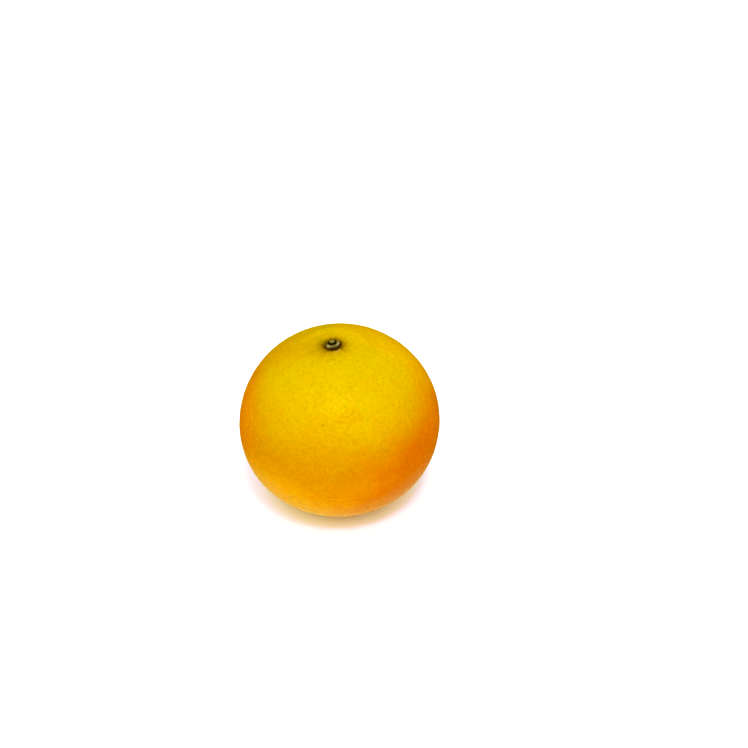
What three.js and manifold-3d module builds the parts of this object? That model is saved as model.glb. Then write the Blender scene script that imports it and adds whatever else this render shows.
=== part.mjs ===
// A whole sweet orange, picked and clipped, standing on the small flat spot that its own weight presses into the rind.
//
// Millimetres, +Z up. The origin is the middle of the part's footprint, on the surface the fruit stands on.
// The fruit is one grown body. Two pieces of the plant are left on its stem end: the five-lobed calyx, which is
// what remains of the flower's sepals, and the short stub of the clipped fruit stalk that rises from it.
// The three lean together, by a few degrees, as a fruit that is set down by hand does.

import * as THREE from "three";
import { mergeVertices } from "three/addons/utils/BufferGeometryUtils.js";
import Module from "manifold-3d";

// ---- driving dimensions ----------------------------------------------------------------------------------------
const EQUATOR_R = 38.0; // half the width of the fruit
const POLE_R = 36.3; // half the height of the fruit, before the stem basin and the flat spot
const LEAN_X = -0.055; // how far the stem end leans, as the X and Y parts of the axis for 1 along Z
const LEAN_Y = -0.045;
const FLAT_SPOT_R = 6.5; // the flat spot's radius
const FLAT_SPOT_CUT = 0.55; // how much of the rind's curve is pressed flat, which gives that radius

const BASIN_DEPTH = 0.7; // the hollow that the calyx sits in
const BASIN_FLOOR = 2.6; // arc from the pole to the end of the hollow's floor
const BASIN_RIM = 9.4; // arc from the pole to where the hollow runs out
const SHOULDER_RISE = 0.42; // the swelling round the hollow
const SHOULDER_ARC = 12.0;
const SHOULDER_WIDTH = 3.6;
const BLOSSOM_FLATTENING = 0.3; // the far end is a little flatter than an ellipse
const ARC_R = 37.0; // turns an angle from the pole into an arc along the rind

// Creases that run out of the basin: [angle, depth, half-width], in radians and millimetres.
const CREASES = [
  [0.18, 0.26, 0.17],
  [0.86, 0.34, 0.15],
  [1.49, 0.2, 0.18],
  [2.2, 0.33, 0.15],
  [2.87, 0.24, 0.16],
  [3.41, 0.3, 0.14],
  [4.05, 0.22, 0.18],
  [4.62, 0.36, 0.15],
  [5.2, 0.24, 0.16],
  [5.77, 0.3, 0.15],
];
const CREASE_ARC = 6.4;
const CREASE_WIDTH = 2.7;

// Slow waves that make one side of the fruit differ from the other: [amplitude, kx, ky, kz, phase].
const WAVES = [
  [0.13, 2.1, 1.3, -0.7, 0.4],
  [0.1, -1.2, 2.9, 1.1, 2.1],
  [0.08, 0.9, -1.7, 3.3, 4.0],
  [0.06, 3.8, 2.2, 1.9, 1.2],
  [0.05, -2.6, 3.1, -3.9, 5.3],
];

const SEGMENTS = 64; // round the axis
const CALYX_GAP = 0.3; // clearance that meshed neighbours keep
const CALYX_R = 2.6; // to the notch between two lobes
const CALYX_LOBE = 0.65; // how far a lobe reaches past the notches
const LOBE_THICK = 0.42;
const CALYX_BEVEL = 0.12;
const COLLAR_R = 2.5; // the foot of the collar inside the lobes, which slopes in as it rises
const CREST_R = 2.02; // the collar's crest, at its outer edge
const COLLAR_HEIGHT = 1.15; // the crest, from the calyx's underside
const CALYX_EYE_R = 1.75; // the round eye in the middle of the collar, which the stalk stands in
const EYE_FLOOR = 0.25;
const STUB_R = 1.35;
const STUB_HEIGHT = 1.12;

// ---- the rind --------------------------------------------------------------------------------------------------
const smooth = (lo, hi, v) => {
  const t = Math.min(1, Math.max(0, (v - lo) / (hi - lo)));
  return t * t * (3 - 2 * t);
};
const bell = (v, middle, width) => Math.exp(-(((v - middle) / width) ** 2));
const turn = (a) => Math.atan2(Math.sin(a), Math.cos(a));

// Distance from the fruit's middle to the rind, along the unit vector (x, y, z), with the stem end at +z.
function rindRadius(x, y, z) {
  const theta = Math.acos(Math.min(1, Math.max(-1, z)));
  const phi = Math.atan2(y, x);
  const sin = Math.sin(theta);
  let r = 1 / Math.sqrt((x * x + y * y) / EQUATOR_R ** 2 + (z * z) / POLE_R ** 2);
  r += 0.24 * sin * sin * Math.cos(2 * (phi - 0.25));
  r += 0.15 * sin ** 3 * Math.cos(3 * (phi + 0.5));
  r += 0.3 * sin * z * Math.cos(phi - 2.4);
  for (const [a, kx, ky, kz, p] of WAVES) r += a * sin * Math.sin(kx * x + ky * y + kz * z + p);
  const arc = ARC_R * theta;
  r -= BASIN_DEPTH * (1 - smooth(BASIN_FLOOR, BASIN_RIM, arc));
  r += SHOULDER_RISE * bell(arc, SHOULDER_ARC, SHOULDER_WIDTH);
  r -= BLOSSOM_FLATTENING * bell(Math.PI - theta, 0, 0.42);
  let crease = 0;
  for (const [at, depth, half] of CREASES) crease += depth * bell(turn(phi - at), 0, half);
  return r - crease * bell(arc, CREASE_ARC, CREASE_WIDTH);
}

// Angles from the stem end to the blossom end, closest together over the basin.
const arcs = [0, 1.3, 2.6, 3.6, 4.6, 5.6, 6.6, 7.7, 9.0, 10.4, 12.0, 13.8, 15.9, 18.2];
const angles = arcs.map((s) => s / ARC_R);
const last = angles[angles.length - 1];
const RINGS_BELOW = 36;
for (let i = 1; i <= RINGS_BELOW; i++) angles.push(last + ((Math.PI - last) * i) / RINGS_BELOW);

// ---- solids ----------------------------------------------------------------------------------------------------
const wasm = await Module();
wasm.setup();

function solidOf(geometry) {
  const g = geometry.clone();
  g.deleteAttribute("normal");
  g.deleteAttribute("uv");
  const merged = mergeVertices(g, 1e-4);
  const index = merged.index.array;
  const kept = [];
  for (let i = 0; i < index.length; i += 3) {
    const [a, b, c] = [index[i], index[i + 1], index[i + 2]];
    if (a !== b && b !== c && c !== a) kept.push(a, b, c);
  }
  return new wasm.Manifold(
    new wasm.Mesh({
      numProp: 3,
      vertProperties: new Float32Array(merged.attributes.position.array),
      triVerts: new Uint32Array(kept),
    }),
  );
}

function geometryOf(solid) {
  const m = solid.getMesh();
  const position = new Float32Array(m.numVert * 3);
  for (let i = 0; i < m.numVert; i++)
    position.set(m.vertProperties.subarray(i * m.numProp, i * m.numProp + 3), i * 3);
  const g = new THREE.BufferGeometry()
    .setAttribute("position", new THREE.BufferAttribute(position, 3))
    .setIndex(new THREE.BufferAttribute(new Uint32Array(m.triVerts), 1));
  g.computeVertexNormals();
  return g;
}

// A profile turned round +Z. The points run from the bottom of the axis to the top of it.
function turned(points, segments) {
  const g = new THREE.LatheGeometry(
    points.map(([r, z]) => new THREE.Vector2(r, z)),
    segments,
  );
  return g.rotateX(Math.PI / 2);
}

// The fruit is turned from a half circle of unit radius, and each point is then moved out to the rind.
const half = angles
  .map((t) => [t === 0 || t === Math.PI ? 0 : Math.sin(t), Math.cos(t)])
  .reverse();
half[0][0] = 0;
const rind = turned(half, SEGMENTS);
{
  const p = rind.attributes.position;
  const v = new THREE.Vector3();
  for (let i = 0; i < p.count; i++) {
    v.fromBufferAttribute(p, i).normalize();
    if (Math.hypot(v.x, v.y) < 1e-6) v.set(0, 0, Math.sign(v.z));
    v.multiplyScalar(rindRadius(v.x, v.y, v.z));
    p.setXYZ(i, v.x, v.y, v.z);
  }
}

// ---- how it leans, and where the flat spot cuts it ---------------------------------------------------------------
const axis = new THREE.Vector3(LEAN_X, LEAN_Y, 1).normalize();
const lean = new THREE.Quaternion().setFromUnitVectors(new THREE.Vector3(0, 0, 1), axis);

const leant = rind.clone().applyQuaternion(lean);
leant.computeBoundingBox();
const box = leant.boundingBox;
const flatAt = box.min.z + FLAT_SPOT_CUT; // the height of the flat spot, from the fruit's middle

// The slab under the flat spot, turned into the fruit's own frame.
const slab = new THREE.BoxGeometry(60, 60, 20)
  .translate(0, 0, flatAt - 10)
  .applyQuaternion(lean.clone().invert());
const fruitSolid = solidOf(rind).subtract(solidOf(slab));

// ---- the calyx: five blunt lobes, and a sloping round collar with an open eye ----------------------------------------------
const floorZ = rindRadius(0, 0, 1); // the basin's floor, on the axis
const outline = new THREE.Shape();
const CALYX_POINTS = 80;
for (let i = 0; i < CALYX_POINTS; i++) {
  const a = (2 * Math.PI * i) / CALYX_POINTS;
  const lobe = Math.pow(0.5 + 0.5 * Math.cos(5 * (a - 0.35)), 1.25);
  const uneven = 0.12 * Math.sin(a + 1.1) + 0.08 * Math.sin(2 * a + 2.3);
  const r = CALYX_R - CALYX_BEVEL + CALYX_LOBE * lobe * (1 + uneven);
  const [x, y] = [r * Math.cos(a), r * Math.sin(a)];
  i ? outline.lineTo(x, y) : outline.moveTo(x, y);
}
outline.closePath();
const lobes = new THREE.ExtrudeGeometry(outline, {
  depth: LOBE_THICK - 2 * CALYX_BEVEL,
  bevelEnabled: true,
  bevelThickness: CALYX_BEVEL,
  bevelSize: CALYX_BEVEL,
  bevelSegments: 2,
  steps: 1,
}).translate(0, 0, CALYX_BEVEL);
const collar = turned(
  [
    [0, 0.2],
    [COLLAR_R, 0.2],
    [COLLAR_R, LOBE_THICK],
    [(COLLAR_R + CREST_R) / 2 + 0.06, (LOBE_THICK + COLLAR_HEIGHT) / 2 + 0.06],
    [CREST_R, COLLAR_HEIGHT - 0.07],
    [CREST_R - 0.09, COLLAR_HEIGHT],
    [0, COLLAR_HEIGHT],
  ],
  40,
);
const eye = turned(
  [
    [0, EYE_FLOOR],
    [CALYX_EYE_R, EYE_FLOOR],
    [CALYX_EYE_R, COLLAR_HEIGHT + 1],
    [0, COLLAR_HEIGHT + 1],
  ],
  40,
);
const calyxSolid = solidOf(lobes).add(solidOf(collar)).subtract(solidOf(eye));

// ---- the stub of the stalk -------------------------------------------------------------------------------------------
const stub = turned(
  [
    [0, 0],
    [STUB_R, 0],
    [STUB_R, 0.35],
    [STUB_R * 0.95, STUB_HEIGHT - 0.22],
    [STUB_R * 0.86, STUB_HEIGHT - 0.06],
    [STUB_R * 0.74, STUB_HEIGHT],
    [0, STUB_HEIGHT],
  ],
  28,
);

// ---- the part --------------------------------------------------------------------------------------------------------
const rindMaterial = new THREE.MeshStandardMaterial({ color: 0xf0b000, roughness: 0.45, metalness: 0 });
const calyxMaterial = new THREE.MeshStandardMaterial({ color: 0x6d6a34, roughness: 0.8, metalness: 0 });
const stubMaterial = new THREE.MeshStandardMaterial({ color: 0xb5ab7e, roughness: 0.85, metalness: 0 });

const fruit = new THREE.Mesh(geometryOf(fruitSolid), rindMaterial);
fruit.name = "orange_fruit";

const calyx = new THREE.Mesh(geometryOf(calyxSolid), calyxMaterial);
calyx.name = "calyx";

const stem = new THREE.Mesh(geometryOf(solidOf(stub)), stubMaterial);
stem.name = "stem_stub";
stem.position.z = EYE_FLOOR + CALYX_GAP;

const stemEnd = new THREE.Group(); // stands on the basin's floor
stemEnd.position.z = floorZ + CALYX_GAP;
stemEnd.add(calyx, stem);

const leaning = new THREE.Group(); // the fruit's middle and its axis
leaning.quaternion.copy(lean);
leaning.position.set(-(box.min.x + box.max.x) / 2, -(box.min.y + box.max.y) / 2, -flatAt);
leaning.add(fruit, stemEnd);

const orange = new THREE.Group();
orange.add(leaning);

export default orange;
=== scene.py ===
import math

import bpy
import numpy as np
from mathutils import Matrix, Vector, noise


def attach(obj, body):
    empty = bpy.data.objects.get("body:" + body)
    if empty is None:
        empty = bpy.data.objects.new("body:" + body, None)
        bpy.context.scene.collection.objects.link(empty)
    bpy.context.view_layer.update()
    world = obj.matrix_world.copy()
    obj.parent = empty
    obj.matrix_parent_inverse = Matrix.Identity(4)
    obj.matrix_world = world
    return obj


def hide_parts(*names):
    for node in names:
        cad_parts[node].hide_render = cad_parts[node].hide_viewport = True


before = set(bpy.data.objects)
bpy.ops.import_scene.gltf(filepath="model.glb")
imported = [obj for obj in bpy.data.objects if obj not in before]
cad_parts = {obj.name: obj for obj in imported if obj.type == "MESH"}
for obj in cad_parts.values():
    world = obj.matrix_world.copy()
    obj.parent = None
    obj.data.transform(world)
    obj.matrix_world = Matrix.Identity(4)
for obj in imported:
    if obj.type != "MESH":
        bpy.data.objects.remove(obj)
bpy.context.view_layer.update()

MM = 0.001

# =====================================================================================================================
# The rind's own shape, in millimetres and in the fruit's own frame: its middle at the origin, its stem end at +Z.
# These numbers repeat the CAD part's.
# =====================================================================================================================
EQUATOR_R, POLE_R = 38.0, 36.3
BASIN_DEPTH, BASIN_FLOOR, BASIN_RIM = 0.7, 2.6, 9.4
SHOULDER_RISE, SHOULDER_ARC, SHOULDER_WIDTH = 0.42, 12.0, 3.6
BLOSSOM_FLATTENING, ARC_R = 0.3, 37.0
CREASES = [
    (0.18, 0.26, 0.17), (0.86, 0.34, 0.15), (1.49, 0.2, 0.18), (2.2, 0.33, 0.15), (2.87, 0.24, 0.16),
    (3.41, 0.3, 0.14), (4.05, 0.22, 0.18), (4.62, 0.36, 0.15), (5.2, 0.24, 0.16), (5.77, 0.3, 0.15),
]
CREASE_ARC, CREASE_WIDTH = 6.4, 2.7
WAVES = [
    (0.13, 2.1, 1.3, -0.7, 0.4), (0.1, -1.2, 2.9, 1.1, 2.1), (0.08, 0.9, -1.7, 3.3, 4.0),
    (0.06, 3.8, 2.2, 1.9, 1.2), (0.05, -2.6, 3.1, -3.9, 5.3),
]
NICKS = [
    ((-0.1331, -0.7847, 0.6055), 0.16, 0.62), ((-0.1275, -0.7765, 0.6171), 0.10, 0.45),
    ((0.150, -0.5175, 0.8424), 0.10, 0.42), ((0.170, -0.5125, 0.8417), 0.12, 0.45), ((0.190, -0.5085, 0.8398), 0.10, 0.42),
    ((0.44, 0.71, 0.5498), 0.14, 0.55), ((-0.80, 0.35, 0.4874), 0.13, 0.6), ((0.86, -0.12, -0.4959), 0.12, 0.5),
]
LEAN = Vector((-0.055, -0.045, 1.0)).normalized()  # the fruit's axis
MIDDLE = np.array([-0.0899, -0.3145, 35.481])  # the fruit's middle, over the origin on the ground
CALYX_R, CALYX_LOBE = 2.6, 0.65
COLLAR_R, CREST_R, COLLAR_HEIGHT, CALYX_EYE_R, EYE_FLOOR = 2.5, 2.02, 1.15, 1.75, 0.25
STUB_R, STUB_HEIGHT = 1.35, 1.12
GAP = 0.3


def smooth(lo, hi, v):
    t = np.clip((v - lo) / (hi - lo), 0.0, 1.0)
    return t * t * (3 - 2 * t)


def bell(v, middle, width):
    return np.exp(-(((v - middle) / width) ** 2))


def turn(a):
    return np.arctan2(np.sin(a), np.cos(a))


def rind_radius(x, y, z, finer=True):
    """Distance from the fruit's middle to the rind, along the unit vector (x, y, z)."""
    theta = np.arccos(np.clip(z, -1.0, 1.0))
    phi = np.arctan2(y, x)
    s = np.sin(theta)
    r = 1 / np.sqrt((x * x + y * y) / EQUATOR_R**2 + z * z / POLE_R**2)
    r = r + 0.24 * s * s * np.cos(2 * (phi - 0.25)) + 0.15 * s**3 * np.cos(3 * (phi + 0.5))
    r = r + 0.3 * s * z * np.cos(phi - 2.4)
    for a, kx, ky, kz, p in WAVES:
        r = r + a * s * np.sin(kx * x + ky * y + kz * z + p)
    arc = ARC_R * theta
    r = r - BASIN_DEPTH * (1 - smooth(BASIN_FLOOR, BASIN_RIM, arc))
    r = r + SHOULDER_RISE * bell(arc, SHOULDER_ARC, SHOULDER_WIDTH)
    r = r - BLOSSOM_FLATTENING * bell(math.pi - theta, 0, 0.42)
    crease = 0.0
    for at, depth, half in CREASES:
        crease = crease + depth * bell(turn(phi - at), 0, half)
    r = r - crease * bell(arc, CREASE_ARC, CREASE_WIDTH)
    if finer:  # the narrow puckers between the creases, and the tight lip where the rind meets the calyx
        pucker = np.zeros_like(r)
        rng = np.random.default_rng(41)
        for i in range(24):
            at = 2 * math.pi * (i + rng.uniform(-0.35, 0.35)) / 24
            depth, half = rng.uniform(0.07, 0.20), rng.uniform(0.05, 0.09)
            mid, long = rng.uniform(4.4, 6.2), rng.uniform(0.9, 2.0)
            wander = 0.05 * np.sin(0.9 * arc + 7.0 * rng.uniform())
            pucker = pucker + depth * bell(turn(phi - at + wander), 0, half) * bell(arc, mid, long)
        r = r - pucker
        r = r + 0.34 * bell(arc, 3.95, 0.62) * (1 + 0.22 * np.sin(5 * phi + 1.0) + 0.20 * np.sin(8 * phi + 2.0) + 0.16 * np.sin(13 * phi))
        # the stylar scar on the blossom end: a small sunken dot with a raised lip
        back = ARC_R * (math.pi - theta)
        r = r - 0.28 * (1 - smooth(1.2, 2.3, back)) + 0.1 * bell(back, 2.7, 0.5)
        # small old wounds: a nick, and a short scratch
        for (ux, uy, uz), deep, wide in NICKS:
            off = ARC_R * np.sqrt(np.maximum(2 - 2 * (x * ux + y * uy + z * uz), 0.0))
            r = r - deep * bell(off, 0.0, wide)
    return r


_quat = Vector((0, 0, 1)).rotation_difference(LEAN)
ROT = np.array(_quat.to_matrix())


def to_world(p):
    """From millimetres in the fruit's own frame to metres in the row's frame."""
    return (p @ ROT.T + MIDDLE) * MM


# =====================================================================================================================
# Small helpers for node trees
# =====================================================================================================================
class Tree:
    """Builds nodes. A value may be a number, a tuple or the output socket of another node."""

    def __init__(self, tree):
        self.t = tree

    def put(self, socket, value):
        if hasattr(value, "is_output"):
            self.t.links.new(value, socket)
        elif value is not None:
            socket.default_value = value

    def node(self, kind, **props):
        n = self.t.nodes.new(kind)
        for k, v in props.items():
            setattr(n, k, v)
        return n

    def math(self, op, a, b=None, c=None, clamp=False):
        n = self.node("ShaderNodeMath", operation=op, use_clamp=clamp)
        for s, v in zip(n.inputs, (a, b, c)):
            self.put(s, v)
        return n.outputs[0]

    def vmath(self, op, a, b=None, scale=None):
        n = self.node("ShaderNodeVectorMath", operation=op)
        self.put(n.inputs[0], a)
        if b is not None:
            self.put(n.inputs[1], b)
        if scale is not None:
            self.put(n.inputs["Scale"], scale)
        return n.outputs["Value"] if op in ("LENGTH", "DOT_PRODUCT", "DISTANCE") else n.outputs[0]

    def ramp(self, v, lo, hi, a=0.0, b=1.0, kind="SMOOTHSTEP"):
        n = self.node("ShaderNodeMapRange", interpolation_type=kind)
        n.clamp = True
        for name, value in (("Value", v), ("From Min", lo), ("From Max", hi), ("To Min", a), ("To Max", b)):
            self.put(n.inputs[name], value)
        return n.outputs["Result"]

    def noise(self, at, scale, detail=2.0, rough=0.5, distortion=0.0):
        n = self.node("ShaderNodeTexNoise", noise_dimensions="3D")
        self.put(n.inputs["Vector"], at)
        n.inputs["Scale"].default_value = scale
        n.inputs["Detail"].default_value = detail
        n.inputs["Roughness"].default_value = rough
        n.inputs["Distortion"].default_value = distortion
        return n.outputs[0]

    def voronoi(self, at, cell, randomness=1.0, feature="F1"):
        """Distance, in the units of the coordinate, to the nearest of the points scattered one to a cell."""
        n = self.node("ShaderNodeTexVoronoi", voronoi_dimensions="3D", feature=feature, distance="EUCLIDEAN")
        self.put(n.inputs["Vector"], at)
        n.inputs["Scale"].default_value = 1.0 / cell
        n.inputs["Randomness"].default_value = randomness
        return self.math("MULTIPLY", n.outputs["Distance"], cell), n.outputs["Color"]

    def mix(self, fac, a, b, blend="MIX"):
        n = self.node("ShaderNodeMix", data_type="RGBA", blend_type=blend)
        n.clamp_factor = True
        self.put(n.inputs[0], fac)
        self.put(n.inputs[6], a)
        self.put(n.inputs[7], b)
        return n.outputs[2]

    def split(self, v):
        n = self.node("ShaderNodeSeparateXYZ")
        self.put(n.inputs[0], v)
        return n.outputs[0], n.outputs[1], n.outputs[2]

    def join(self, x, y, z):
        n = self.node("ShaderNodeCombineXYZ")
        for s, v in zip(n.inputs, (x, y, z)):
            self.put(s, v)
        return n.outputs[0]


PIT_CELL, PIT_R = 1.3, 0.52  # the oil glands' pits: one to a cell of this size, and how wide the usual one is


def pits(t, at):
    """The pits' pattern, from a coordinate in millimetres.

    Gives 0 on the skin between the pits and up to 1 at the bottom of a deep one, the distance from the nearest pit's
    middle, and three random numbers that belong to that pit.
    """
    wobble = t.vmath("SCALE", t.vmath("SUBTRACT", t.node_noise_vec(at, 0.9), (0.5, 0.5, 0.5)), scale=0.3)
    d, colour = t.voronoi(t.vmath("ADD", at, wobble), PIT_CELL, 0.9)
    own, other, _ = t.split(colour)
    wide = t.math("MULTIPLY_ADD", own, 0.34, PIT_R - 0.17)
    bowl = t.ramp(t.math("DIVIDE", d, wide), 0.12, 1.0, 1.0, 0.0)
    return t.math("MULTIPLY", bowl, t.ramp(other, 0.25, 1.0, 0.42, 1.0)), d, colour


def _noise_vec(self, at, scale):
    n = self.node("ShaderNodeTexNoise", noise_dimensions="3D")
    self.put(n.inputs["Vector"], at)
    n.inputs["Scale"].default_value = scale
    n.inputs["Detail"].default_value = 1.0
    return n.outputs["Color"]


Tree.node_noise_vec = _noise_vec


# =====================================================================================================================
# The rind's mesh
# =====================================================================================================================
def geodesic(n):
    """Unit vectors and triangles of an icosahedron whose faces are cut into n by n."""
    g = (1 + math.sqrt(5)) / 2
    v = np.array(
        [(-1, g, 0), (1, g, 0), (-1, -g, 0), (1, -g, 0), (0, -1, g), (0, 1, g), (0, -1, -g), (0, 1, -g),
         (g, 0, -1), (g, 0, 1), (-g, 0, -1), (-g, 0, 1)], float)
    v /= np.linalg.norm(v[0])
    f = [(0, 11, 5), (0, 5, 1), (0, 1, 7), (0, 7, 10), (0, 10, 11), (1, 5, 9), (5, 11, 4), (11, 10, 2), (10, 7, 6),
         (7, 1, 8), (3, 9, 4), (3, 4, 2), (3, 2, 6), (3, 6, 8), (3, 8, 9), (4, 9, 5), (2, 4, 11), (6, 2, 10), (8, 6, 7),
         (9, 8, 1)]
    index = {}
    k = 0
    ij = []
    for i in range(n + 1):
        for j in range(n + 1 - i):
            index[i, j] = k
            ij.append((i, j))
            k += 1
    ij = np.array(ij, float)
    tris = []
    for i in range(n):
        for j in range(n - i):
            tris.append((index[i, j], index[i + 1, j], index[i, j + 1]))
            if i + j < n - 1:
                tris.append((index[i + 1, j], index[i + 1, j + 1], index[i, j + 1]))
    tris = np.array(tris)
    # the weights are bent so that the triangles come out nearly equal
    edge = math.acos(float(v[0] @ v[11]))

    def bend(t):
        return (np.tan((t - 0.5) * edge) / np.tan(0.5 * edge) + 1) / 2

    pts, out = [], []
    for m, (a, b, c) in enumerate(f):
        w = np.stack([n - ij[:, 0] - ij[:, 1], ij[:, 0], ij[:, 1]], 1) / n
        w = bend(w)
        w /= w.sum(1, keepdims=True)
        p = w @ v[[a, b, c]]
        p /= np.linalg.norm(p, axis=1, keepdims=True)
        pts.append(p)
        out.append(tris + m * len(p))
    pts, out = np.concatenate(pts), np.concatenate(out)
    _, first, back = np.unique(np.round(pts, 7), axis=0, return_index=True, return_inverse=True)
    return pts[first], back.reshape(-1)[out]


def refine(v, t, chosen):
    """Cuts each chosen triangle in four, and its neighbours so that no edge is left with a loose point."""
    e = np.sort(np.stack([t[:, [0, 1]], t[:, [1, 2]], t[:, [2, 0]]], 1), axis=2)
    key = e[:, :, 0].astype(np.int64) * len(v) + e[:, :, 1]
    unique, back = np.unique(key, return_inverse=True)
    back = back.reshape(key.shape)
    split = np.zeros(len(unique), bool)
    full = chosen.copy()
    while True:
        split[back[full]] = True
        more = (split[back].sum(1) >= 2) & ~full
        if not more.any():
            break
        full |= more
    a, b = unique[split] // len(v), unique[split] % len(v)
    mid = v[a] + v[b]
    mid /= np.linalg.norm(mid, axis=1, keepdims=True)
    number = np.full(len(unique), -1)
    number[split] = len(v) + np.arange(split.sum())
    m = number[back]
    out = [t[~split[back].any(1)]]
    f = t[full]
    mf = m[full]
    out += [np.stack(c, 1) for c in (
        (f[:, 0], mf[:, 0], mf[:, 2]), (mf[:, 0], f[:, 1], mf[:, 1]), (mf[:, 2], mf[:, 1], f[:, 2]), (mf[:, 0], mf[:, 1], mf[:, 2]))]
    for k in range(3):
        one = split[back[:, k]] & ~full
        f = t[one]
        mk = m[one, k]
        i, j, o = k, (k + 1) % 3, (k + 2) % 3
        out += [np.stack((f[:, i], mk, f[:, o]), 1), np.stack((mk, f[:, j], f[:, o]), 1)]
    return np.concatenate([v, mid]), np.concatenate(out)


def mesh_object(name, points, faces, attributes=(), material=None):
    """A smooth-shaded object from points in metres. attributes: (name, values) for a number or a vector at each point."""
    me = bpy.data.meshes.new(name)
    faces = np.asarray(faces)
    me.vertices.add(len(points))
    me.vertices.foreach_set("co", np.asarray(points, np.float32).reshape(-1))
    k = faces.shape[1]
    me.loops.add(faces.size)
    me.loops.foreach_set("vertex_index", faces.astype(np.int32).reshape(-1))
    me.polygons.add(len(faces))
    me.polygons.foreach_set("loop_start", np.arange(0, faces.size, k, dtype=np.int32))
    me.update(calc_edges=True)
    me.polygons.foreach_set("use_smooth", np.ones(len(faces), bool))
    for label, values in attributes:
        values = np.asarray(values, np.float32)
        kind = "FLOAT_VECTOR" if values.ndim == 2 else "FLOAT"
        a = me.attributes.new(label, kind, "POINT")
        a.data.foreach_set("vector" if kind == "FLOAT_VECTOR" else "value", values.reshape(-1))
    me.validate()
    ob = bpy.data.objects.new(name, me)
    bpy.context.scene.collection.objects.link(ob)
    if material:
        me.materials.append(material)
    return ob


def make_rind():
    v, t = geodesic(92)
    for reach in (11.0, 5.6):
        c = v[t].mean(1)
        c /= np.linalg.norm(c, axis=1, keepdims=True)
        v, t = refine(v, t, ARC_R * np.arccos(np.clip(c[:, 2], -1, 1)) < reach)
    r = rind_radius(v[:, 0], v[:, 1], v[:, 2])
    own = v * r[:, None]
    # slow unevenness under the pits, a few millimetres across
    lump = np.array([noise.noise(Vector(p * 0.22)) * 0.07 + noise.noise(Vector(p * 0.5 + 9.1)) * 0.025 for p in own])
    theta = np.arccos(np.clip(v[:, 2], -1, 1))
    lump = lump * smooth(5.0, 12.0, ARC_R * theta)
    # and the closer knobs of skin that crowd round the stalk
    arc = ARC_R * theta
    near = smooth(3.6, 4.8, arc) * (1 - smooth(7.5, 13.0, arc))
    for i in np.nonzero(near > 0)[0]:
        q = Vector(own[i])
        lump[i] += near[i] * (noise.noise(q * 0.38 + Vector((20.0, 3.0, 7.0))) * 0.17 + noise.noise(q * 0.85 + Vector((4.0, 31.0, 2.0))) * 0.07)
    own = own + v * lump[:, None]
    world = to_world(own) / MM
    # the rind is pressed flat on the ground, with a soft edge to the flat spot
    w = 0.12
    z = world[:, 2]
    pressed = 0.5 * (z + np.sqrt(z * z + w * w))
    world[:, 2] = np.where(z < 2.5, pressed, z - (2.5 - 0.5 * (2.5 + math.sqrt(6.25 + w * w))))
    world[:, 2] -= world[:, 2].min()
    squash = smooth(0.02, 0.6, world[:, 2])  # no pits where it is pressed
    calm = smooth(3.2, 6.5, ARC_R * theta) * (0.25 + 0.75 * squash)
    return mesh_object("peel", world * MM, t, [("fruit_mm", own), ("pit_depth", calm)])


def press_pits(ob):
    """Moves the rind's points in at the oil glands, by the same pattern that the material uses."""
    g = bpy.data.node_groups.new("oil_gland_pits", "GeometryNodeTree")
    g.interface.new_socket("Geometry", in_out="INPUT", socket_type="NodeSocketGeometry")
    g.interface.new_socket("Geometry", in_out="OUTPUT", socket_type="NodeSocketGeometry")
    t = Tree(g)
    inp, out = t.node("NodeGroupInput"), t.node("NodeGroupOutput")
    at = t.node("GeometryNodeInputNamedAttribute", data_type="FLOAT_VECTOR")
    at.inputs["Name"].default_value = "fruit_mm"
    calm = t.node("GeometryNodeInputNamedAttribute", data_type="FLOAT")
    calm.inputs["Name"].default_value = "pit_depth"
    pit, d, _ = pits(t, at.outputs[0])
    depth = t.math("MULTIPLY", pit, -0.085 * MM)
    pillow = t.math("MULTIPLY", t.ramp(d, 0.42, 0.95), 0.035 * MM)
    depth = t.math("MULTIPLY", t.math("ADD", depth, pillow), calm.outputs[0])
    normal = t.node("GeometryNodeInputNormal")
    move = t.node("GeometryNodeSetPosition")
    g.links.new(inp.outputs[0], move.inputs["Geometry"])
    g.links.new(t.vmath("SCALE", normal.outputs[0], scale=depth), move.inputs["Offset"])
    g.links.new(move.outputs[0], out.inputs[0])
    mod = ob.modifiers.new("pits", "NODES")
    mod.node_group = g
    dg = bpy.context.evaluated_depsgraph_get()
    me = bpy.data.meshes.new_from_object(ob.evaluated_get(dg), depsgraph=dg)
    ob.modifiers.remove(mod)
    old = ob.data
    ob.data = me
    me.name = "peel"
    bpy.data.meshes.remove(old)
    bpy.data.node_groups.remove(g)
    low = min(v.co.z for v in me.vertices)
    if low < 0:
        for v in me.vertices:
            if v.co.z < 0:
                v.co.z = 0.0
    me.polygons.foreach_set("use_smooth", np.ones(len(me.polygons), bool))


# =====================================================================================================================
# Materials
# =====================================================================================================================
def material(name):
    m = bpy.data.materials.new(name)
    m.use_nodes = True
    m.node_tree.nodes.clear()
    t = Tree(m.node_tree)
    bsdf = t.node("ShaderNodeBsdfPrincipled")
    out = t.node("ShaderNodeOutputMaterial")
    m.node_tree.links.new(bsdf.outputs[0], out.inputs[0])
    return m, t, bsdf


def attribute(t, name, vector=False):
    n = t.node("ShaderNodeAttribute", attribute_name=name)
    return n.outputs["Vector"] if vector else n.outputs["Fac"]


def rgb(r, g, b):
    return (r, g, b, 1.0)


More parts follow.
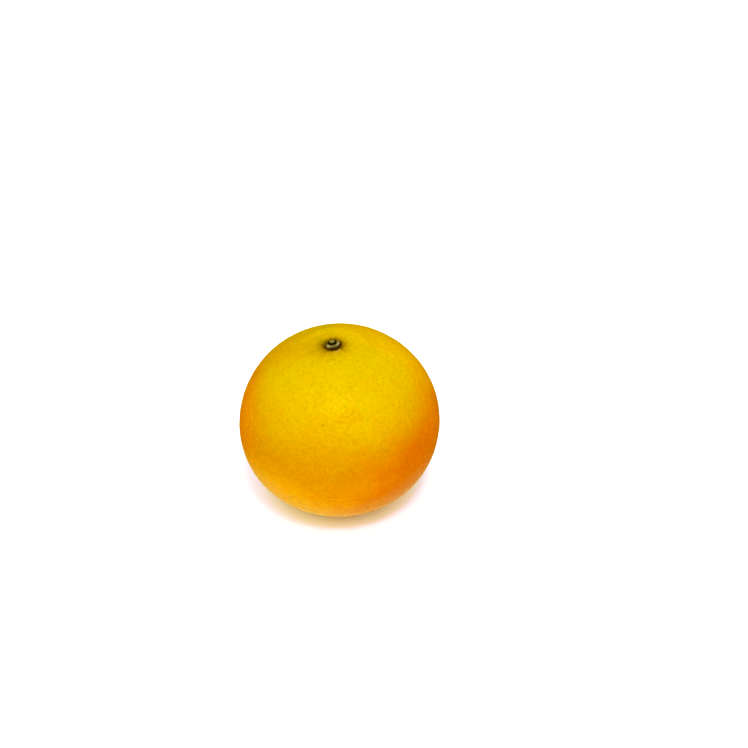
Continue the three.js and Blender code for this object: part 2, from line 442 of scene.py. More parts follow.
def rind_material():
    m, t, bsdf = material("rind")
    at = attribute(t, "fruit_mm", vector=True)
    calm = attribute(t, "pit_depth")
    x, y, z = t.split(at)
    # ---- from the stem end to the blossom end, lighter again low down with painted light ----------------------
    warp = t.math("MULTIPLY", t.math("SUBTRACT", t.noise(at, 0.045, 3.0, 0.55), 0.5), 16.0)
    # painted light and shade: low down the left side is shifted yellower, for light thrown up from the floor; high up
    # the left is shifted more orange, for shade, and the right yellower, for light
    side = t.math("MULTIPLY", x, t.ramp(z, -12.0, 24.0, -0.20, 0.06))
    height = t.math("ADD", t.math("ADD", z, warp), side)
    ramp = t.node("ShaderNodeValToRGB")
    cr = ramp.color_ramp
    cr.interpolation = "B_SPLINE"
    # yellow at the stem end to orange at the blossom end is the rind's own colour; the lighter lowest stops are painted
    # light, for light thrown up from the white floor
    stops = [
        (0.00, (0.730, 0.250, 0.0034)),
        (0.22, (0.730, 0.282, 0.0030)),
        (0.40, (0.605, 0.230, 0.0024)),
        (0.56, (0.488, 0.203, 0.0020)),
        (0.68, (0.484, 0.236, 0.0018)),
        (0.78, (0.512, 0.305, 0.0020)),
        (0.86, (0.510, 0.340, 0.0022)),
        (0.94, (0.492, 0.338, 0.0024)),
        (1.00, (0.465, 0.330, 0.0030)),
    ]
    while len(cr.elements) > 1:
        cr.elements.remove(cr.elements[-1])
    cr.elements[0].position, cr.elements[0].color = stops[0][0], rgb(*stops[0][1])
    for p, c in stops[1:]:
        e = cr.elements.new(p)
        e.color = rgb(*c)
    t.put(ramp.inputs[0], t.ramp(height, -38.0, 38.0, kind="LINEAR"))
    colour = ramp.outputs[0]
    # a deeper, darker red-orange low on one side: partly the rind's own blush, partly painted shade and painted red
    # bounce light from fruit lying beside it
    blush_and_shade_at = t.vmath("DOT_PRODUCT", at, (0.85 / 37, -0.25 / 37, -0.46 / 37))
    blush_and_shade = t.ramp(t.math("ADD", blush_and_shade_at, t.math("MULTIPLY", t.math("SUBTRACT", t.noise(at, 0.09, 2.0), 0.5), 0.5)), 0.16, 0.84, 0.0, 0.80)
    blush_and_shade = t.math("MULTIPLY", blush_and_shade, t.math("MULTIPLY", t.ramp(z, -30.0, -8.0, 0.45, 1.0), t.ramp(z, 20.0, 6.0, 0.30, 1.0)))
    colour = t.mix(blush_and_shade, colour, rgb(0.500, 0.098, 0.0030))
    # painted shade and painted red bounce light: the left flank is made redder, for fruit lying beside it
    flank_shade_at = t.vmath("DOT_PRODUCT", at, (-0.97 / 37, 0.10 / 37, -0.05 / 37))
    flank_shade = t.ramp(t.math("ADD", flank_shade_at, t.math("MULTIPLY", t.math("SUBTRACT", t.noise(at, 0.11, 2.0), 0.5), 0.3)), 0.45, 1.05, 0.0, 0.42)
    colour = t.mix(flank_shade, colour, rgb(0.60, 0.185, 0.003))
    # the far side is a more even orange
    far_at = t.vmath("DOT_PRODUCT", at, (-0.25 / 37, 0.88 / 37, -0.38 / 37))
    far = t.ramp(t.math("ADD", far_at, t.math("MULTIPLY", t.math("SUBTRACT", t.noise(at, 0.08, 3.0, 0.55), 0.5), 0.45)), 0.10, 0.95, 0.0, 0.85)
    colour = t.mix(far, colour, rgb(0.66, 0.205, 0.003))
    # painted light and shade, laid on as patches of colour: a redder patch on either side for the shade and red bounce
    # light of fruit beside it; a lighter one low on the front-left for light thrown up from the white floor; a lighter
    # one high on the far right for light; a darker one high on the left for the shade of fruit above; and one small
    # darker blotch of the rind's own on the front
    for toward, lo, hi, most, tone in (
        ((-0.985, 0.08, 0.16), 0.74, 1.00, 0.60, (0.66, 0.176, 0.003)),
        ((0.990, 0.02, 0.14), 0.76, 1.00, 0.46, (0.62, 0.172, 0.003)),
        ((-0.600, -0.560, -0.570), 0.68, 0.97, 0.86, (0.70, 0.335, 0.004)),
        ((0.600, 0.460, 0.655), 0.70, 0.99, 0.64, (0.66, 0.355, 0.003)),
        ((-0.500, 0.090, 0.861), 0.91, 0.99, 0.55, (0.50, 0.240, 0.003)),
        ((0.085, -0.775, 0.626), 0.984, 0.999, 0.38, (0.48, 0.215, 0.002)),
    ):
        light_shade_and_blotch_at = t.vmath("DOT_PRODUCT", at, tuple(c / 37.4 for c in toward))
        light_shade_and_blotch = t.ramp(t.math("ADD", light_shade_and_blotch_at, t.math("MULTIPLY", t.math("SUBTRACT", t.noise(at, 0.13, 2.0), 0.5), 0.12)), lo, hi, 0.0, most)
        colour = t.mix(light_shade_and_blotch, colour, rgb(*tone))
    # ---- blotches and mottling --------------------------------------------------------------------------------
    blotch = t.noise(at, 0.16, 3.0, 0.6)
    colour = t.mix(t.ramp(blotch, 0.48, 0.74, 0.0, 0.30), colour, rgb(1.14, 0.84, 1.0), blend="MULTIPLY")
    colour = t.mix(t.ramp(blotch, 0.50, 0.26, 0.0, 0.28), colour, rgb(1.10, 1.14, 1.3), blend="MULTIPLY")
    mottle = t.noise(at, 0.75, 3.0, 0.65)
    colour = t.mix(t.ramp(mottle, 0.42, 0.70, 0.0, 0.20), colour, rgb(0.82, 0.70, 0.6), blend="MULTIPLY")
    speckle = t.noise(at, 0.42, 2.0, 0.5)
    colour = t.mix(t.ramp(speckle, 0.52, 0.74, 0.0, 0.17), colour, rgb(0.82, 0.72, 0.6), blend="MULTIPLY")
    # ---- round the stalk: greener skin, darker streaks running down from it, and painted shade -----------------------
    radial = t.math("SQRT", t.math("ADD", t.math("MULTIPLY", x, x), t.math("MULTIPLY", y, y)))
    up = t.ramp(z, 25.0, 30.0)
    inv = t.math("DIVIDE", 1.0, t.math("MAXIMUM", radial, 0.2))
    spoke = t.join(t.math("MULTIPLY", x, inv), t.math("MULTIPLY", y, inv), t.math("MULTIPLY", radial, 0.05))
    streak = t.noise(spoke, 5.5, 3.0, 0.6)
    # a duller, darker orange reaching out to the left and back of the stalk: partly the rind's own tone there, partly
    # painted shade of fruit resting above
    lop = t.math("SQRT", t.math("ADD", t.math("POWER", t.math("ADD", x, 2.5), 2.0), t.math("MULTIPLY", t.math("MULTIPLY", y, y), 1.25)))
    stem_tone_and_shade_reach = t.math("ADD", lop, t.math("MULTIPLY", t.math("SUBTRACT", streak, 0.5), 8.0))
    stem_tone_and_shade = t.math("MULTIPLY", t.ramp(stem_tone_and_shade_reach, 3.0, 12.5, 0.78, 0.0), up)
    colour = t.mix(stem_tone_and_shade, colour, rgb(0.405, 0.226, 0.005))
    green_at = t.vmath("DISTANCE", at, (-2.9, 2.2, 35.4))
    colour = t.mix(t.ramp(green_at, 1.2, 3.6, 0.55, 0.0), colour, rgb(0.33, 0.27, 0.020))
    fine_streak = t.noise(spoke, 13.0, 2.0, 0.5)
    tick_reach = t.math("ADD", radial, t.math("MULTIPLY", t.math("SUBTRACT", fine_streak, 0.5), 7.0))
    # painted shade: a soft darker halo at the sides and back of the stalk, for shade in the hollow round it and of
    # fruit resting above
    sideways = t.math("MAXIMUM", t.math("ABSOLUTE", t.math("MULTIPLY", x, inv)), t.math("MULTIPLY", t.math("MULTIPLY", y, inv), 0.9))
    basin_shade = t.math("MULTIPLY", t.math("MULTIPLY", t.ramp(tick_reach, 2.8, 7.2, 0.80, 0.0), t.ramp(sideways, 0.25, 0.95)), up)
    colour = t.mix(basin_shade, colour, rgb(0.22, 0.122, 0.003))
    tick = t.math("MULTIPLY", t.ramp(tick_reach, 3.0, 5.2, 0.62, 0.0), up)
    colour = t.mix(tick, colour, rgb(0.26, 0.14, 0.005))
    # where the rind's lip meets the calyx: a dark ring, partly stain and partly painted shade of the gap under the
    # calyx
    lip_reach = t.math("ADD", radial, t.math("MULTIPLY", t.math("SUBTRACT", fine_streak, 0.5), 1.6))
    lip_stain_and_shade = t.math("MULTIPLY", t.ramp(lip_reach, 2.9, 4.9, 0.90, 0.0), up)
    greener = t.ramp(green_at, 1.0, 2.6, 0.45, 1.0)
    colour = t.mix(t.math("MULTIPLY", lip_stain_and_shade, greener), colour, rgb(0.10, 0.050, 0.003))
    # paler, dry tissue on the front of the lip: partly its own colour, partly a painted highlight where the lip's crest
    # catches the light
    lit_front_of_lip = t.ramp(t.vmath("DOT_PRODUCT", t.join(t.math("MULTIPLY", x, inv), t.math("MULTIPLY", y, inv), 0.0), (0.28, -0.96, 0.0)), 0.80, 1.0)
    dry_and_lit = t.math("MULTIPLY", t.math("MULTIPLY", t.ramp(lip_reach, 3.1, 3.9), t.ramp(lip_reach, 5.2, 4.0)), t.math("MULTIPLY", t.math("MULTIPLY", lit_front_of_lip, up), t.ramp(mottle, 0.35, 0.60)))
    colour = t.mix(t.math("MULTIPLY", dry_and_lit, 0.75), colour, rgb(0.43, 0.285, 0.090))
    # painted shade: the rind right under the calyx's edge is painted nearly black, for the shadow in the gap there,
    # with some dark stain
    collar = t.math("MULTIPLY", t.ramp(radial, 2.95, 3.45, 0.9, 0.0), up)
    colour = t.mix(collar, colour, rgb(0.07, 0.035, 0.004))
    # ---- the scar on the blossom end ---------------------------------------------------------------------------
    down = t.ramp(z, -33.0, -35.0)
    scar = t.math("MULTIPLY", t.ramp(t.math("ADD", radial, t.math("MULTIPLY", t.math("SUBTRACT", mottle, 0.5), 1.6)), 1.2, 2.6, 0.9, 0.0), down)
    colour = t.mix(scar, colour, rgb(0.20, 0.10, 0.03))
    # ---- the oil glands: darker in their pits, partly the glands' own colour and partly painted shade in the hollows ---
    pit, d, cell = pits(t, at)
    pit = t.math("MULTIPLY", pit, calm)
    cr_, cg_, cb_ = t.split(cell)
    raised = t.math("MULTIPLY", t.ramp(d, 0.45, 0.85), calm)
    colour = t.mix(t.math("MULTIPLY", raised, t.math("MULTIPLY_ADD", cb_, 0.34, 0.06)), colour, rgb(1.20, 1.22, 1.5), blend="MULTIPLY")
    zone = t.ramp(z, -14.0, 18.0, 1.35, 0.50)  # the glands show more on the lower half
    # painted shade in part: the pits are darker the deeper they are, and darker still at their middles
    pit_tone_and_shade = t.math("MULTIPLY", t.math("MULTIPLY", pit, zone), t.ramp(cr_, 0.0, 1.0, 0.16, 0.36, kind="LINEAR"))
    colour = t.mix(pit_tone_and_shade, colour, rgb(0.72, 0.60, 0.5), blend="MULTIPLY")
    pit_core_tone_and_shade = t.math("MULTIPLY", t.math("MULTIPLY", t.ramp(d, 0.05, 0.36, 0.13, 0.0), t.ramp(cg_, 0.3, 1.0)), t.math("MULTIPLY", calm, zone))
    colour = t.mix(pit_core_tone_and_shade, colour, rgb(0.55, 0.38, 0.4), blend="MULTIPLY")
    fine_d, fine_cell = t.voronoi(at, 0.72, 1.0)
    fine = t.math("MULTIPLY", t.ramp(fine_d, 0.04, 0.27, 1.0, 0.0), t.math("MULTIPLY", calm, t.ramp(d, 0.35, 0.6)))
    colour = t.mix(t.math("MULTIPLY", fine, 0.14), colour, rgb(0.74, 0.63, 0.5), blend="MULTIPLY")
    # ---- a few brown freckles, and darker marks at the nicks -------------------------------------------------------
    fr_d, fr_c = t.voronoi(at, 6.5, 1.0)
    fr_r, fr_g, _ = t.split(fr_c)
    size = t.ramp(fr_r, 0.45, 1.0, 0.0, 0.34, kind="LINEAR")
    freckle = t.math("MULTIPLY", t.ramp(t.math("SUBTRACT", fr_d, size), -0.08, 0.10, 1.0, 0.0), t.ramp(fr_r, 0.45, 0.5))
    colour = t.mix(t.math("MULTIPLY", freckle, 0.45), colour, rgb(0.26, 0.13, 0.006))
    for u, deep, wide in NICKS:
        off = t.vmath("DISTANCE", t.vmath("NORMALIZE", at), tuple(u))
        mark = t.ramp(off, 0.2 * wide / ARC_R, 1.35 * wide / ARC_R, 0.62 if deep > 0.11 else 0.3, 0.0)
        colour = t.mix(mark, colour, rgb(0.30, 0.19, 0.006))
    t.put(bsdf.inputs["Base Color"], colour)
    # ---- gloss ------------------------------------------------------------------------------------------------------
    rough = t.math("ADD", t.ramp(t.noise(at, 0.3, 3.0, 0.6), 0.3, 0.7, 0.22, 0.30), t.math("MULTIPLY", pit, 0.12))
    rough = t.math("ADD", rough, t.math("MULTIPLY", t.math("ADD", scar, collar), 0.3), clamp=True)
    t.put(bsdf.inputs["Roughness"], rough)
    bsdf.inputs["IOR"].default_value = 1.45
    bsdf.inputs["Specular IOR Level"].default_value = 0.12
    bsdf.inputs["Specular Tint"].default_value = rgb(1.0, 0.88, 0.45)
    bsdf.inputs["Subsurface Weight"].default_value = 0.10
    bsdf.inputs["Subsurface Radius"].default_value = (1.0, 0.45, 0.12)
    bsdf.inputs["Subsurface Scale"].default_value = 0.0012
    # ---- relief -----------------------------------------------------------------------------------------------------
    h = t.math("MULTIPLY", pit, -0.066 * MM)
    h = t.math("ADD", h, t.math("MULTIPLY", t.math("MULTIPLY", t.ramp(d, 0.40, 0.95), calm), 0.034 * MM))
    h = t.math("ADD", h, t.math("MULTIPLY", fine, -0.014 * MM))
    h = t.math("ADD", h, t.math("MULTIPLY", speckle, 0.082 * MM))
    h = t.math("ADD", h, t.math("MULTIPLY", t.noise(at, 1.1, 2.0, 0.5), 0.032 * MM))
    h = t.math("ADD", h, t.math("MULTIPLY", t.noise(at, 6.0, 2.0, 0.6), 0.0030 * MM))
    h = t.math("ADD", h, t.math("MULTIPLY", t.math("MULTIPLY", fine_streak, t.ramp(radial, 8.0, 3.0)), t.math("MULTIPLY", up, 0.10 * MM)))
    bump = t.node("ShaderNodeBump")
    bump.inputs["Strength"].default_value = 1.0
    bump.inputs["Distance"].default_value = 1.0
    t.put(bump.inputs["Height"], h)
    t.put(bsdf.inputs["Normal"], bump.outputs[0])
    return m


def calyx_material():
    m, t, bsdf = material("calyx_cork")
    at = attribute(t, "fruit_mm", vector=True)
    top = attribute(t, "top")
    lobe = attribute(t, "lobe")
    x, y, z = t.split(at)
    radial = t.math("SQRT", t.math("ADD", t.math("MULTIPLY", x, x), t.math("MULTIPLY", y, y)))
    inv = t.math("DIVIDE", 1.0, t.math("MAXIMUM", radial, 0.2))
    spoke = t.join(t.math("MULTIPLY", x, inv), t.math("MULTIPLY", y, inv), t.math("MULTIPLY", radial, 0.12))
    grain = t.noise(spoke, 6.0, 4.0, 0.65)
    patch = t.noise(at, 1.0, 3.0, 0.6)
    # the collar: dry, pale grey-beige cork
    cork = t.mix(t.ramp(patch, 0.35, 0.65), rgb(0.285, 0.208, 0.158), rgb(0.225, 0.178, 0.130))
    cork = t.mix(t.ramp(grain, 0.44, 0.70, 0.0, 0.60), cork, rgb(0.37, 0.290, 0.240))
    cork = t.mix(t.ramp(grain, 0.46, 0.28, 0.0, 0.55), cork, rgb(0.09, 0.065, 0.025))
    # the lobes: darker, dried green to brown
    leafy = t.mix(t.ramp(patch, 0.35, 0.65), rgb(0.034, 0.014, 0.002), rgb(0.028, 0.015, 0.002))
    leafy = t.mix(t.ramp(grain, 0.48, 0.72, 0.0, 0.6), leafy, rgb(0.085, 0.050, 0.012))
    # the lobes are lighter towards the left
    lighter_left = t.ramp(t.math("MULTIPLY", x, inv), -0.35, -0.95, 0.0, 0.8)
    leafy = t.mix(lighter_left, leafy, rgb(0.115, 0.062, 0.012))
    # the cork is darker on the front and towards the back-left
    round_ = t.join(t.math("MULTIPLY", x, inv), t.math("MULTIPLY", y, inv), 0.0)
    front = t.math("ADD", t.ramp(t.vmath("DOT_PRODUCT", round_, (0.25, -0.97, 0.0)), 0.76, 0.95, 0.0, 0.85), t.math("MULTIPLY", t.math("SUBTRACT", patch, 0.5), 0.35), clamp=True)
    cork = t.mix(front, cork, rgb(0.098, 0.083, 0.058))
    darker_back_left = t.math("ADD", t.vmath("DOT_PRODUCT", round_, (-0.45, 1.0, 0.0)), t.math("MULTIPLY", t.math("SUBTRACT", patch, 0.5), 0.4))
    cork = t.mix(t.ramp(darker_back_left, -0.15, 0.15, 0.0, 0.90), cork, rgb(0.060, 0.050, 0.012))
    reach = t.math("ADD", lobe, t.math("MULTIPLY", t.math("SUBTRACT", grain, 0.5), 0.5))
    colour = t.mix(t.ramp(reach, 0.25, 0.75), cork, leafy)
    # painted shade: wherever the calyx's skin doesn't face up (its side walls, its underside and the inside of its eye)
    # it is painted nearly black
    wall_shade = t.mix(t.ramp(patch, 0.35, 0.7), rgb(0.010, 0.006, 0.002), rgb(0.022, 0.014, 0.004))
    edge = t.math("ADD", top, t.math("MULTIPLY", t.math("SUBTRACT", patch, 0.5), 0.4))
    colour = t.mix(t.ramp(edge, 0.30, 0.62), wall_shade, colour)
    speck = t.noise(at, 7.0, 2.0, 0.7)
    colour = t.mix(t.ramp(speck, 0.56, 0.70, 0.0, 0.5), colour, rgb(0.05, 0.032, 0.010))
    t.put(bsdf.inputs["Base Color"], colour)
    t.put(bsdf.inputs["Roughness"], t.ramp(patch, 0.3, 0.7, 0.68, 0.88))
    bsdf.inputs["Specular IOR Level"].default_value = 0.3
    h = t.math("MULTIPLY", grain, 0.12 * MM)
    h = t.math("ADD", h, t.math("MULTIPLY", t.noise(at, 5.0, 4.0, 0.65), 0.09 * MM))
    bump = t.node("ShaderNodeBump")
    bump.inputs["Distance"].default_value = 1.0
    t.put(bump.inputs["Height"], h)
    t.put(bsdf.inputs["Normal"], bump.outputs[0])
    return m


def stub_material():
    m, t, bsdf = material("stalk_wood")
    at = attribute(t, "fruit_mm", vector=True)
    top = attribute(t, "top")
    x, y, z = t.split(at)
    wob = t.math("MULTIPLY", t.math("SUBTRACT", t.noise(at, 1.4, 2.0), 0.5), 0.5)
    radial = t.math("ADD", t.math("SQRT", t.math("ADD", t.math("MULTIPLY", x, x), t.math("MULTIPLY", y, y))), wob)
    inv = t.math("DIVIDE", 1.0, t.math("MAXIMUM", radial, 0.15))
    spoke = t.join(t.math("MULTIPLY", x, inv), t.math("MULTIPLY", y, inv), t.math("MULTIPLY", z, 0.04))
    grain = t.noise(spoke, 7.0, 3.0, 0.6)
    # the cut face: a darker pith, pale wood with rays, and a dark green-black edge of bark
    wood = t.mix(t.ramp(grain, 0.35, 0.7), rgb(0.170, 0.122, 0.050), rgb(0.275, 0.200, 0.095))
    pith = t.mix(t.ramp(radial, 0.16, 0.36), rgb(0.12, 0.090, 0.040), wood)
    bark = t.mix(t.ramp(grain, 0.35, 0.7), rgb(0.009, 0.007, 0.002), rgb(0.022, 0.018, 0.004))
    colour = t.mix(t.ramp(t.math("ADD", top, t.math("MULTIPLY", wob, 0.5)), 0.35, 0.65), bark, pith)
    speck = t.noise(at, 6.0, 3.0, 0.7)
    colour = t.mix(t.ramp(speck, 0.52, 0.70, 0.0, 0.6), colour, rgb(0.065, 0.045, 0.012))
    t.put(bsdf.inputs["Base Color"], colour)
    t.put(bsdf.inputs["Roughness"], t.ramp(speck, 0.3, 0.7, 0.7, 0.92))
    bsdf.inputs["Specular IOR Level"].default_value = 0.3
    h = t.math("ADD", t.math("MULTIPLY", grain, 0.06 * MM), t.math("MULTIPLY", t.noise(at, 6.0, 4.0, 0.65), 0.05 * MM))
    bump = t.node("ShaderNodeBump")
    bump.inputs["Distance"].default_value = 1.0
    t.put(bump.inputs["Height"], h)
    t.put(bsdf.inputs["Normal"], bump.outputs[0])
    return m


# =====================================================================================================================
# The calyx and the stub: closed skins wound round the fruit's axis
# =====================================================================================================================
def spline(points, n):
    """n points on a centripetal-like smooth curve through the given (k, 2) points."""
    p = np.asarray(points, float)
    seg = np.maximum(np.linalg.norm(np.diff(p, axis=0), axis=1), 1e-6) ** 0.5
    at = np.concatenate([[0], np.cumsum(seg)])
    s = np.linspace(0, at[-1], n)
    m = np.gradient(p, at, axis=0)
    k = np.clip(np.searchsorted(at, s, side="right") - 1, 0, len(seg) - 1)
    h = (at[k + 1] - at[k])[:, None]
    u = ((s - at[k]) / (at[k + 1] - at[k]))[:, None]
    return ((2 * u**3 - 3 * u**2 + 1) * p[k] + (u**3 - 2 * u**2 + u) * h * m[k]
            + (-2 * u**3 + 3 * u**2) * p[k + 1] + (u**3 - u**2) * h * m[k + 1])


def wound(name, rows, labels, mat):
    """rows: (n_phi, n_profile, 3) points in the fruit's frame, each row from a point on the axis to another on it."""
    n, k = rows.shape[:2]
    own = rows.reshape(-1, 3)
    quads = []
    for i in range(n):
        a, b = i * k, ((i + 1) % n) * k
        j = np.arange(1, k - 2)
        quads.append(np.stack([a + j, b + j, b + j + 1, a + j + 1], 1))
    quads = np.concatenate(quads)
    # one shared point at each end
    start, end = rows[:, 0].mean(0), rows[:, -1].mean(0)
    own = np.concatenate([own, [start], [end]])
    s, e = n * k, n * k + 1
    tris = []
    for i in range(n):
        a, b = i * k, ((i + 1) % n) * k
        tris.append((s, b + 1, a + 1))
        tris.append((e, a + k - 2, b + k - 2))
    me_faces = [tuple(q) for q in quads] + tris
    labels = [(l, np.concatenate([v.reshape(-1), [v[:, 0].mean()], [v[:, -1].mean()]])) for l, v in labels]
    used = np.zeros(len(own), bool)
    for f in me_faces:
        used[list(f)] = True
    number = np.cumsum(used) - 1
    me = bpy.data.meshes.new(name)
    me.from_pydata([tuple(p) for p in to_world(own)[used]], [], [tuple(int(number[i]) for i in f) for f in me_faces])
    me.polygons.foreach_set("use_smooth", np.ones(len(me.polygons), bool))
    a = me.attributes.new("fruit_mm", "FLOAT_VECTOR", "POINT")
    a.data.foreach_set("vector", own[used].astype(np.float32).reshape(-1))
    for l, v in labels:
        a = me.attributes.new(l, "FLOAT", "POINT")
        a.data.foreach_set("value", v[used].astype(np.float32))
    me.validate()
    ob = bpy.data.objects.new(name, me)
    bpy.context.scene.collection.objects.link(ob)
    me.materials.append(mat)
    return ob


def rind_height(x, y):
    """Height of the rind over the fruit's middle, near the stem end, at x and y."""
    rho = np.hypot(x, y)
    z = np.full_like(rho, 35.0)
    for _ in range(6):
        n = np.sqrt(rho**2 + z**2)
        z = np.sqrt(np.maximum(rind_radius(x / n, y / n, z / n) ** 2 - rho**2, 1.0))
    return z


FLOOR_Z = float(rind_radius(np.array([0.0]), np.array([0.0]), np.array([1.0]), finer=False)[0])


def fbm(p, scale, octaves=3):
    return np.array([noise.fractal(Vector(q * scale), 0.9, 2.1, octaves) for q in p])


def make_calyx(mat):
    """Five blunt lobes that lie down on the rind, and the raised corky collar inside them."""
    n, k = 360, 96
    base = FLOOR_Z + GAP
    top = base + COLLAR_HEIGHT
    rows, tops, lobes = np.zeros((n, k, 3)), np.zeros((n, k)), np.zeros((n, k))
    rng = np.random.default_rng(7)
    ripples = [(rng.integers(9, 24), rng.uniform(0, 6.28), rng.uniform(0.008, 0.02)) for _ in range(5)]
    for i in range(n):
        a = 2 * math.pi * i / n
        lobe = (0.5 + 0.5 * math.cos(5 * (a - 0.35))) ** 1.5
        uneven = 0.12 * math.sin(a + 1.1) + 0.08 * math.sin(2 * a + 2.3)
        R = CALYX_R + 0.06 + CALYX_LOBE * lobe * (1 + uneven)
        R += sum(c * math.sin(f * a + p) for f, p, c in ripples) * (0.5 + lobe)
        rim = COLLAR_R - 0.01 + 0.16 * math.cos(a + 0.25) + 0.05 * math.sin(2 * a + 0.6) + 0.04 * math.sin(3 * a + 2.2) + 0.025 * math.sin(7 * a + 1.0)
        rise = top - 0.15 + 0.16 * math.cos(a + 0.4) + 0.04 * math.sin(3 * a + 0.5) + 0.025 * math.sin(5 * a + 2.0)
        crest = CREST_R - 0.01 + 0.12 * math.cos(a + 0.25) + 0.04 * math.sin(2 * a + 2.6) + 0.03 * math.sin(5 * a + 0.4)
        eye = CALYX_EYE_R - 0.05 + 0.05 * math.cos(a + 0.25) + 0.03 * math.sin(3 * a + 2.0) + 0.02 * math.sin(8 * a + 0.5)
        skin = float(rind_height(np.array([R * math.cos(a)]), np.array([R * math.sin(a)]))[0])
        foot = min(base - 0.1, skin + 0.02)
        thick = 0.27 + 0.04 * math.sin(4 * a)  # a lobe, near its tip
        tip = foot + thick
        sill = base + 0.22 + 0.14 * math.cos(a + 0.5) + 0.10 * max(0.0, math.cos(a - 5.0)) + 0.03 * math.sin(4 * a + 1.0)  # where the collar rises from the lobes
        prof = spline([
            (0.0, base - 0.22),
            (eye * 0.7, base - 0.22),
            (R * 0.74, min(base - 0.16, foot + 0.12)),
            (R - 0.24, foot + 0.03),
            (R - 0.05, foot + 0.08),
            (R + 0.0, foot + 0.5 * thick),
            (R - 0.06, tip - 0.05),
            (R - 0.18, tip + 0.03),
            (rim + 0.35 * max(R - rim, 0.1), tip + 0.07),
            (rim + 0.05, max(tip + 0.11, sill - 0.22)),
            (rim - 0.01, sill),
            (rim - 0.06, sill + 0.14),
            (rim + 0.38 * (crest - rim) + 0.05, sill + 0.42 * (rise - sill)),
            (rim + 0.75 * (crest - rim) + 0.04, sill + 0.78 * (rise - sill)),
            (crest, rise - 0.05),
            ((eye + crest) / 2, rise + 0.015),
            (eye + 0.07, rise - 0.04),
            (eye + 0.01, rise - 0.15),
            (eye - 0.02, rise - 0.40),
            (eye - 0.04, base + EYE_FLOOR + 0.12),
            (eye - 0.25, base + EYE_FLOOR - 0.06),
            (eye * 0.4, base + EYE_FLOOR - 0.06),
            (0.0, base + EYE_FLOOR - 0.06),
        ], k)
        rows[i, :, 0] = prof[:, 0] * math.cos(a)
        rows[i, :, 1] = prof[:, 0] * math.sin(a)
        rows[i, :, 2] = prof[:, 1]
        slope = np.gradient(prof, axis=0)
        up = -slope[:, 0] / np.maximum(np.linalg.norm(slope, axis=1), 1e-9)  # 1 where the skin faces up
        # this mask is used in the material to paint shade: the walls and the inside of the eye go nearly black
        tops[i] = np.clip(0.5 + 0.6 * up, 0, 1) * (prof[:, 0] > eye * 0.9)
        lobes[i] = smooth(sill + 0.13, sill - 0.02, prof[:, 1])
    flat = rows.reshape(-1, 3)
    bumpy = fbm(flat, 1.1) * 0.04 + fbm(flat + 5.0, 3.2) * 0.022
    outward = flat.copy()
    outward[:, 2] = (flat[:, 2] - base) * 1.6
    outward /= np.maximum(np.linalg.norm(outward, axis=1, keepdims=True), 1e-6)
    flat = flat + outward * bumpy[:, None]
    return wound("calyx_cork", flat.reshape(n, k, 3), [("top", tops), ("lobe", lobes)], mat)


def make_stub(mat):
    """The clipped stalk: a dark bark edge round a pale cut face."""
    n, k = 220, 72
    base = FLOOR_Z + GAP + EYE_FLOOR + GAP
    topz = base + STUB_HEIGHT
    rows, tops = np.zeros((n, k, 3)), np.zeros((n, k))
    for i in range(n):
        a = 2 * math.pi * i / n
        R = STUB_R * 0.985 * (1 + 0.03 * math.sin(2 * a + 0.8) + 0.025 * math.sin(3 * a + 2.0) + 0.016 * math.sin(7 * a) + 0.012 * math.sin(11 * a + 1.0))
        tilt = 0.06 * math.cos(a - 0.9)  # the clip wasn't quite square
        face = 0.86 + 0.05 * math.sin(2 * a + 1.7) + 0.035 * math.sin(5 * a)
        prof = spline([
            (0.0, base - 0.2),
            (R * 0.8, base - 0.2),
            (R * 1.02, base - 0.05),
            (R * 1.0, base + 0.12),
            (R * 0.985, topz - 0.46 + tilt * 0.4),
            (R * 0.95, topz - 0.31 + tilt * 0.7),
            (R * 0.86, topz - 0.19 + tilt * 0.8),
            (face + 0.07, topz - 0.14 + tilt * 0.75),
            (face, topz - 0.10 + tilt * 0.7),
            (face - 0.09, topz - 0.03 + tilt * 0.6),
            (face * 0.72, topz - 0.01 + tilt * 0.5),
            (face * 0.35, topz - 0.04 + tilt * 0.3),
            (0.0, topz - 0.06),
        ], k)
        rows[i, :, 0] = prof[:, 0] * math.cos(a)
        rows[i, :, 1] = prof[:, 0] * math.sin(a)
        rows[i, :, 2] = prof[:, 1]
        tops[i] = smooth(face + 0.06, face - 0.06, prof[:, 0]) * (prof[:, 1] > base + 0.3)
    flat = rows.reshape(-1, 3)
    bumpy = fbm(flat + 3.0, 1.8) * 0.03 + fbm(flat + 8.0, 5.0) * 0.014
    outward = flat.copy()
    outward[:, 2] = (flat[:, 2] - base) * 0.8
    outward /= np.maximum(np.linalg.norm(outward, axis=1, keepdims=True), 1e-6)
    flat = flat + outward * bumpy[:, None]
    flat[:, 2] = np.minimum(flat[:, 2], topz)
    return wound("stalk_stub", flat.reshape(n, k, 3), [("top", tops)], mat)


# =====================================================================================================================
# Build
# =====================================================================================================================
peel = make_rind()
press_pits(peel)
peel.data.materials.append(rind_material())
calyx = make_calyx(calyx_material())
stub = make_stub(stub_material())

for ob, node, slot in ((peel, "orange_fruit", "rind"), (calyx, "calyx", "calyx"), (stub, "stem_stub", "stem")):
    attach(ob, "root")
    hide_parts(node)

